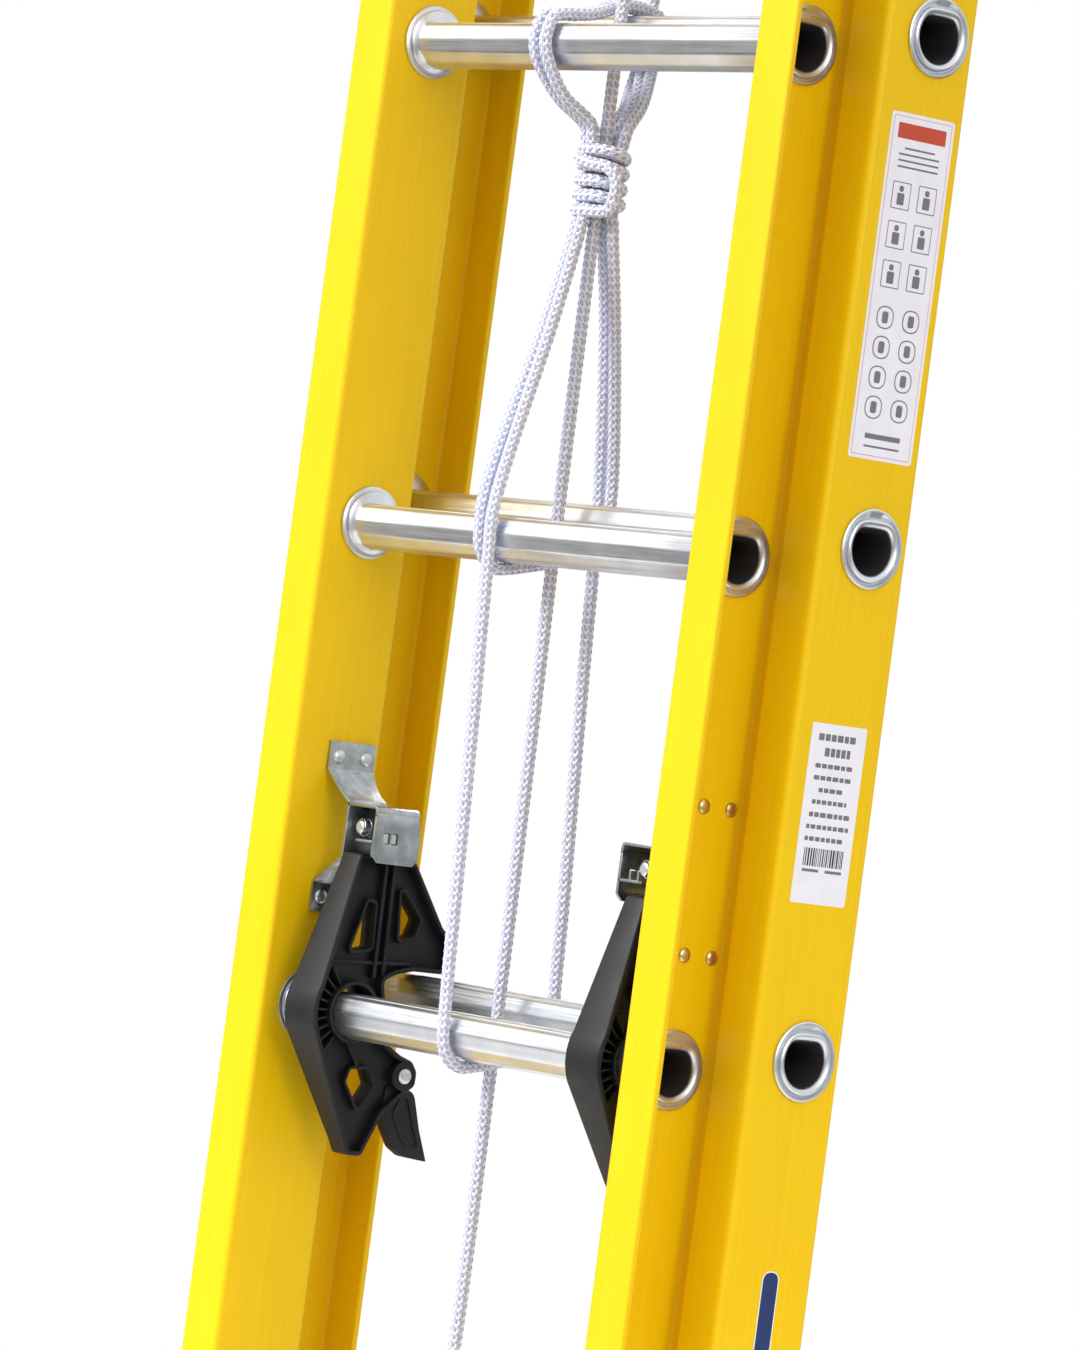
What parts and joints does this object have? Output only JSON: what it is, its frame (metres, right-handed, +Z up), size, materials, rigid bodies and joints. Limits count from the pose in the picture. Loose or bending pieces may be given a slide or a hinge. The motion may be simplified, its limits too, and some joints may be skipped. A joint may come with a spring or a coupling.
{
  "type": "extension ladder",
  "caption": "Two-section fibreglass extension ladder, closed, with aluminium rungs, swinging rung locks, swivel shoes, a rope and a pulley.",
  "frame": {"origin": "on the floor, in the middle of the ladder's outline", "axes": "+Z up along the rails, +X across the ladder to its right, +Y from the climbing side to the back"},
  "size_m": [0.46, 0.145, 2.4003],
  "materials": {
    "fibreglass": "smooth pultruded, yellow through and through",
    "rung_aluminium": "mill finish, drawn lengthways",
    "lock_nylon": "moulded, satin",
    "zinc_steel": "bright zinc",
    "rivet_steel": "yellow passivated",
    "spring_steel": "drawn wire",
    "shoe_aluminium": "cast and tumbled",
    "pad_rubber": "moulded, ribbed",
    "guide_plastic": "moulded",
    "wheel_nylon": "moulded, satin",
    "rope_braid": "braided polyester, soft"
  },
  "bodies": {
    "base": {"base_rail_left": "fibreglass", "base_rail_right": "fibreglass", "base_rung_1": "rung_aluminium", "base_rung_2": "rung_aluminium", "base_rung_3": "rung_aluminium", "base_rung_4": "rung_aluminium", "base_rung_5": "rung_aluminium", "base_rung_6": "rung_aluminium", "base_rung_7": "rung_aluminium", "base_rung_8": "rung_aluminium", "base_guide_left": "guide_plastic", "shoe_bolt_left": "zinc_steel", "base_guide_right": "guide_plastic", "shoe_bolt_right": "zinc_steel", "pulley_hanger": "zinc_steel", "pulley_axle": "zinc_steel", "rope_hoist_upper": "rope_braid", "rope_knot": "rope_braid", "rope_long_loop": "rope_braid", "rope_short_loop": "rope_braid", "rope_top_loop_1": "rope_braid", "rope_top_loop_2": "rope_braid"},
    "fly": {"fly_rail_left": "fibreglass", "fly_rail_right": "fibreglass", "fly_rung_1": "rung_aluminium", "fly_rung_2": "rung_aluminium", "fly_rung_3": "rung_aluminium", "fly_rung_4": "rung_aluminium", "fly_rung_5": "rung_aluminium", "fly_rung_6": "rung_aluminium", "fly_rung_7": "rung_aluminium", "fly_rung_8": "rung_aluminium", "fly_guide_left": "guide_plastic", "fly_cap_left": "guide_plastic", "lock_bracket_left": "zinc_steel", "lock_spring_left": "spring_steel", "bracket_rivet_left_1": "rivet_steel", "bracket_rivet_left_2": "rivet_steel", "bracket_rivet_left_3": "rivet_steel", "bracket_rivet_left_4": "rivet_steel", "fly_guide_right": "guide_plastic", "fly_cap_right": "guide_plastic", "lock_bracket_right": "zinc_steel", "lock_spring_right": "spring_steel", "bracket_rivet_right_1": "rivet_steel", "bracket_rivet_right_2": "rivet_steel", "bracket_rivet_right_3": "rivet_steel", "bracket_rivet_right_4": "rivet_steel", "rope_hoist_lower": "rope_braid"},
    "lock_left": {"rung_lock_left": "lock_nylon", "flipper_pin_left": "zinc_steel"},
    "lock_right": {"rung_lock_right": "lock_nylon", "flipper_pin_right": "zinc_steel"},
    "flipper_left": {"lock_flipper_left": "lock_nylon"},
    "flipper_right": {"lock_flipper_right": "lock_nylon"},
    "shoe_left": {"shoe_left": "shoe_aluminium", "shoe_pad_left": "pad_rubber"},
    "shoe_right": {"shoe_right": "shoe_aluminium", "shoe_pad_right": "pad_rubber"},
    "wheel": {"pulley_wheel": "wheel_nylon"}
  },
  "joints": [
    {"name": "fly_slide", "type": "slide", "parent": "base", "child": "fly", "axis": [0, 0, 1], "range_m": [0, 1.8], "deforming": ["rope_hoist_lower", "rope_hoist_upper", "rope_knot", "rope_long_loop", "rope_short_loop", "rope_top_loop_1", "rope_top_loop_2"]},
    {"name": "lock_left_swing", "type": "hinge", "parent": "fly", "child": "lock_left", "pos_m": [-0.1345, -0.0353, 0.4753], "axis": [1, 0, 0], "range_deg": [0, 22], "stiffness_Nm_per_rad": 0.3, "springref_deg": -20.05, "deforming": ["lock_spring_left"]},
    {"name": "flipper_left_swing", "type": "hinge", "parent": "lock_left", "child": "flipper_left", "pos_m": [-0.1345, 0.0132, 0.4388], "axis": [1, 0, 0], "range_deg": [0, 70]},
    {"name": "shoe_left_swing", "type": "hinge", "parent": "base", "child": "shoe_left", "pos_m": [-0.2185, 0.0205, 0.06], "axis": [1, 0, 0], "range_deg": [0, 15]},
    {"name": "lock_right_swing", "type": "hinge", "parent": "fly", "child": "lock_right", "pos_m": [0.1345, -0.0353, 0.4753], "axis": [1, 0, 0], "range_deg": [0, 22], "stiffness_Nm_per_rad": 0.3, "springref_deg": -20.05, "deforming": ["lock_spring_right"]},
    {"name": "flipper_right_swing", "type": "hinge", "parent": "lock_right", "child": "flipper_right", "pos_m": [0.1345, 0.0132, 0.4388], "axis": [1, 0, 0], "range_deg": [0, 70]},
    {"name": "shoe_right_swing", "type": "hinge", "parent": "base", "child": "shoe_right", "pos_m": [0.2185, 0.0205, 0.06], "axis": [1, 0, 0], "range_deg": [0, 15]},
    {"name": "wheel_spin", "type": "hinge", "parent": "base", "child": "wheel", "pos_m": [-0.04, 0.0218, 2.234], "axis": [1, 0, 0], "continuous": true}
  ]
}
